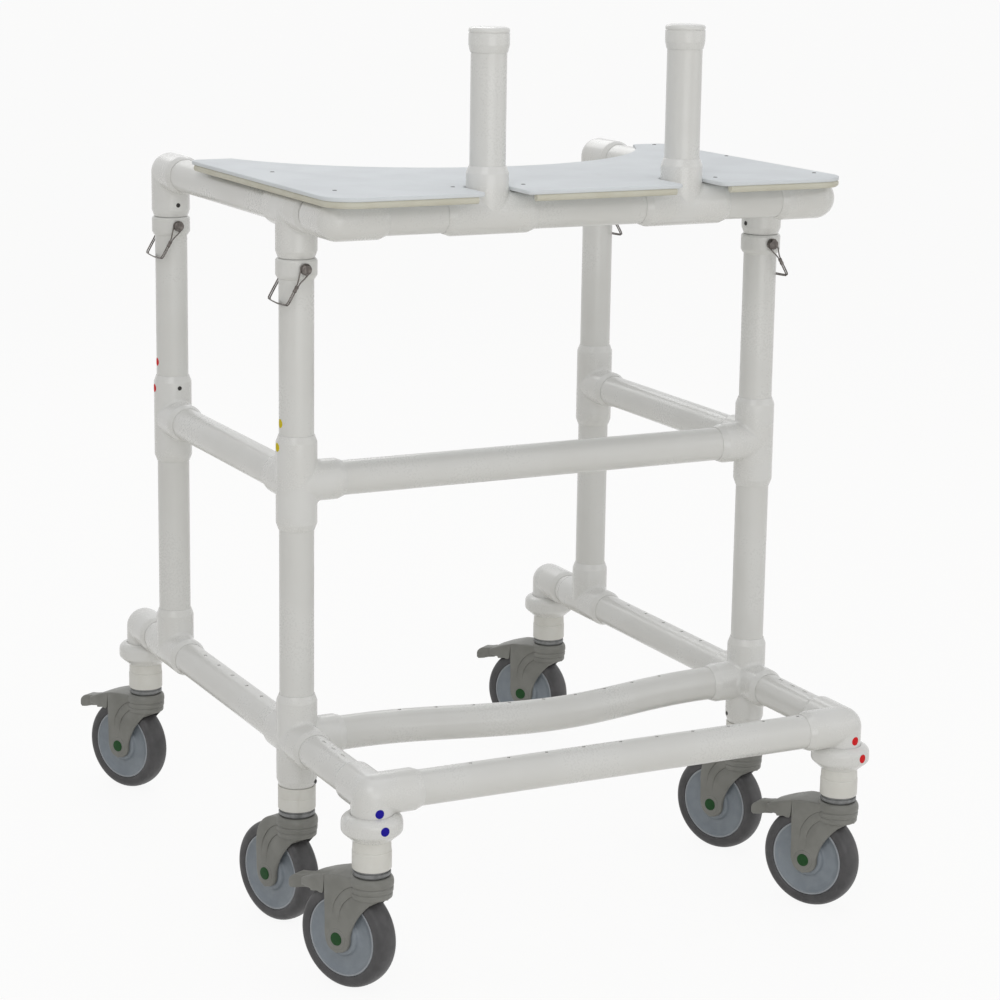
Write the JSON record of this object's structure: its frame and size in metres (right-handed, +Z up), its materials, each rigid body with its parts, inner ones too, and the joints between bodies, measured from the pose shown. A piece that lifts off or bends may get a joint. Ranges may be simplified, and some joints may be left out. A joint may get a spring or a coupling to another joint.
{
  "type": "aquatic platform walker",
  "caption": "Pipe-frame walking aid on swivel casters, with a height-adjustable forearm table and two upright grips, for walking in shallow water.",
  "frame": {"origin": "on the floor, under the middle of the footprint", "axes": "+Z up, +X to the right along the front rails, +Y from the front rails to the open rear where the user stands"},
  "size_m": [0.7423, 0.9317, 1.1045],
  "materials": {
    "white_pvc": "smooth, slightly glossy",
    "white_sheet": "satin sheet",
    "cream_sleeve": "satin",
    "grey_nylon": "satin, moulded",
    "pale_grey_wheel": "satin, moulded",
    "dark_grey_rubber": "matt",
    "wire_steel": "drawn wire and turned pin, slightly tarnished"
  },
  "bodies": {
    "frame": {"base_front_rail": "white_pvc", "base_cross_rail": "white_pvc", "base_side_rail_left": "white_pvc", "base_side_rail_right": "white_pvc", "base_corner_left": "white_pvc", "base_corner_right": "white_pvc", "base_junction_left": "white_pvc", "base_junction_right": "white_pvc", "base_rear_corner_left": "white_pvc", "base_rear_corner_right": "white_pvc", "lower_post_front_left": "white_pvc", "lower_post_front_right": "white_pvc", "lower_post_rear_left": "white_pvc", "lower_post_rear_right": "white_pvc", "mid_rail_front": "white_pvc", "mid_rail_left": "white_pvc", "mid_rail_right": "white_pvc", "upper_post_front_left": "white_pvc", "upper_post_front_right": "white_pvc", "upper_post_rear_left": "white_pvc", "upper_post_rear_right": "white_pvc", "caster_socket_front_left": "cream_sleeve", "caster_socket_front_right": "cream_sleeve", "caster_socket_middle_left": "cream_sleeve", "caster_socket_middle_right": "cream_sleeve", "caster_socket_rear_left": "cream_sleeve", "caster_socket_rear_right": "cream_sleeve"},
    "table": {"table_side_rail_left": "white_pvc", "table_side_rail_right": "white_pvc", "table_front_rail": "white_pvc", "hand_grip_left": "white_pvc", "hand_grip_right": "white_pvc", "table_board": "white_sheet"},
    "pin_front_left": {"lock_pin_front_left": "wire_steel"},
    "pin_front_right": {"lock_pin_front_right": "wire_steel"},
    "pin_rear_left": {"lock_pin_rear_left": "wire_steel"},
    "pin_rear_right": {"lock_pin_rear_right": "wire_steel"},
    "caster_front_left": {"caster_fork_front_left": "grey_nylon"},
    "caster_front_right": {"caster_fork_front_right": "grey_nylon"},
    "caster_middle_left": {"caster_fork_middle_left": "grey_nylon"},
    "caster_middle_right": {"caster_fork_middle_right": "grey_nylon"},
    "caster_rear_left": {"caster_fork_rear_left": "grey_nylon"},
    "caster_rear_right": {"caster_fork_rear_right": "grey_nylon"},
    "wheel_front_left": {"wheel_rim_front_left": "pale_grey_wheel", "wheel_tyre_front_left": "dark_grey_rubber"},
    "wheel_front_right": {"wheel_rim_front_right": "pale_grey_wheel", "wheel_tyre_front_right": "dark_grey_rubber"},
    "wheel_middle_left": {"wheel_rim_middle_left": "pale_grey_wheel", "wheel_tyre_middle_left": "dark_grey_rubber"},
    "wheel_middle_right": {"wheel_rim_middle_right": "pale_grey_wheel", "wheel_tyre_middle_right": "dark_grey_rubber"},
    "wheel_rear_left": {"wheel_rim_rear_left": "pale_grey_wheel", "wheel_tyre_rear_left": "dark_grey_rubber"},
    "wheel_rear_right": {"wheel_rim_rear_right": "pale_grey_wheel", "wheel_tyre_rear_right": "dark_grey_rubber"},
    "pedal_front_left": {"brake_pedal_front_left": "grey_nylon"},
    "pedal_front_right": {"brake_pedal_front_right": "grey_nylon"},
    "pedal_rear_left": {"brake_pedal_rear_left": "grey_nylon"},
    "pedal_rear_right": {"brake_pedal_rear_right": "grey_nylon"}
  },
  "joints": [
    {"name": "table_height", "type": "slide", "parent": "frame", "child": "table", "axis": [0, 0, 1], "range_m": [0, 0.1524]},
    {"name": "lock_pin_front_left_turn", "type": "hinge", "parent": "frame", "child": "pin_front_left", "pos_m": [-0.307, -0.203, 0.8212], "axis": [0, 1, 0], "range_deg": [0, 110]},
    {"name": "lock_pin_front_right_turn", "type": "hinge", "parent": "frame", "child": "pin_front_right", "pos_m": [0.333, -0.203, 0.8212], "axis": [0, -1, 0], "range_deg": [0, 110]},
    {"name": "lock_pin_rear_left_turn", "type": "hinge", "parent": "frame", "child": "pin_rear_left", "pos_m": [-0.307, 0.23, 0.8212], "axis": [0, 1, 0], "range_deg": [0, 110]},
    {"name": "lock_pin_rear_right_turn", "type": "hinge", "parent": "frame", "child": "pin_rear_right", "pos_m": [0.333, 0.23, 0.8212], "axis": [0, -1, 0], "range_deg": [0, 110]},
    {"name": "caster_swivel_front_left", "type": "hinge", "parent": "frame", "child": "caster_front_left", "pos_m": [-0.307, -0.4295, 0.1415], "axis": [0, 0, 1], "continuous": true},
    {"name": "caster_swivel_front_right", "type": "hinge", "parent": "frame", "child": "caster_front_right", "pos_m": [0.333, -0.4295, 0.1415], "axis": [0, 0, 1], "continuous": true},
    {"name": "caster_swivel_middle_left", "type": "hinge", "parent": "frame", "child": "caster_middle_left", "pos_m": [-0.307, -0.203, 0.1415], "axis": [0, 0, 1], "continuous": true},
    {"name": "caster_swivel_middle_right", "type": "hinge", "parent": "frame", "child": "caster_middle_right", "pos_m": [0.333, -0.203, 0.1415], "axis": [0, 0, 1], "continuous": true},
    {"name": "caster_swivel_rear_left", "type": "hinge", "parent": "frame", "child": "caster_rear_left", "pos_m": [-0.307, 0.355, 0.1415], "axis": [0, 0, 1], "continuous": true},
    {"name": "caster_swivel_rear_right", "type": "hinge", "parent": "frame", "child": "caster_rear_right", "pos_m": [0.333, 0.355, 0.1415], "axis": [0, 0, 1], "continuous": true},
    {"name": "wheel_spin_front_left", "type": "hinge", "parent": "caster_front_left", "child": "wheel_front_left", "pos_m": [-0.32244, -0.39921, 0.0635], "axis": [0.891, 0.454, 0], "continuous": true},
    {"name": "wheel_spin_front_right", "type": "hinge", "parent": "caster_front_right", "child": "wheel_front_right", "pos_m": [0.31704, -0.39948, 0.0635], "axis": [0.8829, 0.4695, 0], "continuous": true},
    {"name": "wheel_spin_middle_left", "type": "hinge", "parent": "caster_middle_left", "child": "wheel_middle_left", "pos_m": [-0.31807, -0.17085, 0.0635], "axis": [0.9455, 0.3256, 0], "continuous": true},
    {"name": "wheel_spin_middle_right", "type": "hinge", "parent": "caster_middle_right", "child": "wheel_middle_right", "pos_m": [0.31917, -0.17194, 0.0635], "axis": [0.9135, 0.4067, 0], "continuous": true},
    {"name": "wheel_spin_rear_left", "type": "hinge", "parent": "caster_rear_left", "child": "wheel_rear_left", "pos_m": [-0.32296, 0.38502, 0.0635], "axis": [0.8829, 0.4695, 0], "continuous": true},
    {"name": "wheel_spin_rear_right", "type": "hinge", "parent": "caster_rear_right", "child": "wheel_rear_right", "pos_m": [0.31399, 0.38319, 0.0635], "axis": [0.829, 0.5592, 0], "continuous": true},
    {"name": "brake_pedal_front_left_press", "type": "hinge", "parent": "caster_front_left", "child": "pedal_front_left", "pos_m": [-0.3238, -0.39653, 0.1348], "axis": [0.891, 0.454, 0], "range_deg": [-5, 0]},
    {"name": "brake_pedal_front_right_press", "type": "hinge", "parent": "caster_front_right", "child": "pedal_front_right", "pos_m": [0.31563, -0.39683, 0.1348], "axis": [0.8829, 0.4695, 0], "range_deg": [-5, 0]},
    {"name": "brake_pedal_rear_left_press", "type": "hinge", "parent": "caster_rear_left", "child": "pedal_rear_left", "pos_m": [-0.32437, 0.38767, 0.1348], "axis": [0.8829, 0.4695, 0], "range_deg": [-5, 0]},
    {"name": "brake_pedal_rear_right_press", "type": "hinge", "parent": "caster_rear_right", "child": "pedal_rear_right", "pos_m": [0.31231, 0.38567, 0.1348], "axis": [0.829, 0.5592, 0], "range_deg": [-5, 0]}
  ]
}
